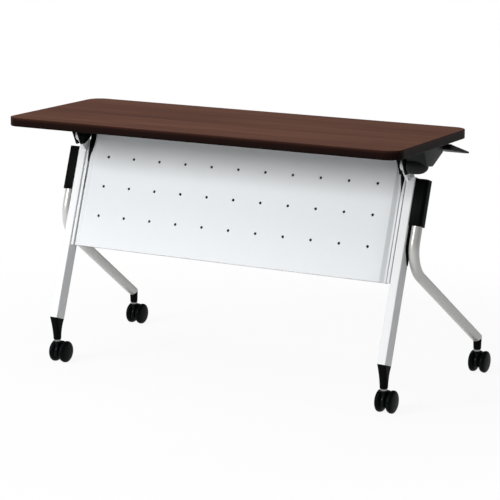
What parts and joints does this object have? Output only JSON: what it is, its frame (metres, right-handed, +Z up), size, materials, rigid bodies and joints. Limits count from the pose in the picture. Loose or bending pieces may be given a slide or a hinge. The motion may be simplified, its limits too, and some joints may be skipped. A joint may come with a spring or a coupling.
{
  "type": "flip-top training table",
  "caption": "Oblong wood-grain tabletop on a folding steel frame with leaning posts, bent rear legs, perforated modesty panel, flip hinge, release lever and twin-wheel casters.",
  "frame": {"origin": "on the floor, at the centre of the bounding box's bottom face", "axes": "+X along the length towards the end with the release lever, +Y towards the person seated at the table, +Z up"},
  "size_m": [1.2, 0.652, 0.72],
  "materials": {
    "wood_laminate": "satin laminate, dark brown grain along the length",
    "edge_strip": "satin dark brown edge band",
    "white_paint": "fine-texture powder coat",
    "panel_paint": "smooth powder coat",
    "grey_paint": "satin metallic grey powder coat",
    "black_plastic": "moulded, fine texture",
    "black_steel": "black powder coat",
    "zinc_steel": "zinc plated",
    "caster_plastic": "moulded satin nylon",
    "wheel_plastic": "moulded nylon with a soft tread"
  },
  "bodies": {
    "frame": {"post_left": "white_paint", "rear_leg_left": "grey_paint", "leg_sleeve_left": "black_plastic", "front_socket_left": "black_plastic", "rear_socket_left": "black_plastic", "pivot_head_left": "white_paint", "pivot_pin_left": "zinc_steel", "panel_bracket_left": "white_paint", "corner_wedge_left": "black_plastic", "post_right": "white_paint", "rear_leg_right": "grey_paint", "leg_sleeve_right": "black_plastic", "front_socket_right": "black_plastic", "rear_socket_right": "black_plastic", "pivot_head_right": "white_paint", "pivot_pin_right": "zinc_steel", "panel_bracket_right": "white_paint", "corner_wedge_right": "black_plastic", "cross_beam": "white_paint", "modesty_panel": "panel_paint", "panel_liner": "black_steel"},
    "top": {"tabletop": "wood_laminate", "edge_band": "edge_strip", "hinge_bracket_left": "black_steel", "hinge_bracket_right": "black_steel", "bracket_screws": "zinc_steel", "lever_housing": "black_plastic", "shaft_guide_left": "black_plastic", "shaft_guide_middle": "black_plastic", "shaft_guide_right": "black_plastic"},
    "release": {"release_shaft": "zinc_steel", "release_lever": "black_plastic", "latch_pawl_left": "black_steel", "latch_pawl_right": "black_steel"},
    "caster_front_left": {"caster_hood_front_left": "caster_plastic", "caster_stem_front_left": "zinc_steel", "caster_axle_front_left": "zinc_steel"},
    "wheel_front_left_inner": {"caster_wheel_front_left_inner": "wheel_plastic"},
    "wheel_front_left_outer": {"caster_wheel_front_left_outer": "wheel_plastic"},
    "caster_front_right": {"caster_hood_front_right": "caster_plastic", "caster_stem_front_right": "zinc_steel", "caster_axle_front_right": "zinc_steel"},
    "wheel_front_right_inner": {"caster_wheel_front_right_inner": "wheel_plastic"},
    "wheel_front_right_outer": {"caster_wheel_front_right_outer": "wheel_plastic"},
    "caster_rear_left": {"caster_hood_rear_left": "caster_plastic", "caster_stem_rear_left": "zinc_steel", "caster_axle_rear_left": "zinc_steel"},
    "wheel_rear_left_inner": {"caster_wheel_rear_left_inner": "wheel_plastic"},
    "wheel_rear_left_outer": {"caster_wheel_rear_left_outer": "wheel_plastic"},
    "caster_rear_right": {"caster_hood_rear_right": "caster_plastic", "caster_stem_rear_right": "zinc_steel", "caster_axle_rear_right": "zinc_steel"},
    "wheel_rear_right_inner": {"caster_wheel_rear_right_inner": "wheel_plastic"},
    "wheel_rear_right_outer": {"caster_wheel_rear_right_outer": "wheel_plastic"}
  },
  "joints": [
    {"name": "top_flip", "type": "hinge", "parent": "frame", "child": "top", "pos_m": [0, -0.093, 0.646], "axis": [1, 0, 0], "range_deg": [0, 90]},
    {"name": "lever_pull", "type": "hinge", "parent": "top", "child": "release", "pos_m": [0, 0.011, 0.684], "axis": [1, 0, 0], "range_deg": [0, 12], "stiffness_Nm_per_rad": 1, "springref_deg": -8.59},
    {"name": "swivel_front_left", "type": "hinge", "parent": "frame", "child": "caster_front_left", "pos_m": [-0.518, -0.212, 0.07], "axis": [0, 0, 1], "continuous": true},
    {"name": "roll_front_left_inner", "type": "hinge", "parent": "caster_front_left", "child": "wheel_front_left_inner", "pos_m": [-0.518, -0.1945, 0.031], "axis": [1, 0, 0], "continuous": true},
    {"name": "roll_front_left_outer", "type": "hinge", "parent": "caster_front_left", "child": "wheel_front_left_outer", "pos_m": [-0.518, -0.1945, 0.031], "axis": [1, 0, 0], "continuous": true},
    {"name": "swivel_front_right", "type": "hinge", "parent": "frame", "child": "caster_front_right", "pos_m": [0.518, -0.212, 0.07], "axis": [0, 0, 1], "continuous": true},
    {"name": "roll_front_right_inner", "type": "hinge", "parent": "caster_front_right", "child": "wheel_front_right_inner", "pos_m": [0.518, -0.1945, 0.031], "axis": [1, 0, 0], "continuous": true},
    {"name": "roll_front_right_outer", "type": "hinge", "parent": "caster_front_right", "child": "wheel_front_right_outer", "pos_m": [0.518, -0.1945, 0.031], "axis": [1, 0, 0], "continuous": true},
    {"name": "swivel_rear_left", "type": "hinge", "parent": "frame", "child": "caster_rear_left", "pos_m": [-0.572, 0.2775, 0.07], "axis": [0, 0, 1], "continuous": true},
    {"name": "roll_rear_left_inner", "type": "hinge", "parent": "caster_rear_left", "child": "wheel_rear_left_inner", "pos_m": [-0.572, 0.295, 0.031], "axis": [1, 0, 0], "continuous": true},
    {"name": "roll_rear_left_outer", "type": "hinge", "parent": "caster_rear_left", "child": "wheel_rear_left_outer", "pos_m": [-0.572, 0.295, 0.031], "axis": [1, 0, 0], "continuous": true},
    {"name": "swivel_rear_right", "type": "hinge", "parent": "frame", "child": "caster_rear_right", "pos_m": [0.572, 0.2775, 0.07], "axis": [0, 0, 1], "continuous": true},
    {"name": "roll_rear_right_inner", "type": "hinge", "parent": "caster_rear_right", "child": "wheel_rear_right_inner", "pos_m": [0.572, 0.295, 0.031], "axis": [1, 0, 0], "continuous": true},
    {"name": "roll_rear_right_outer", "type": "hinge", "parent": "caster_rear_right", "child": "wheel_rear_right_outer", "pos_m": [0.572, 0.295, 0.031], "axis": [1, 0, 0], "continuous": true}
  ]
}
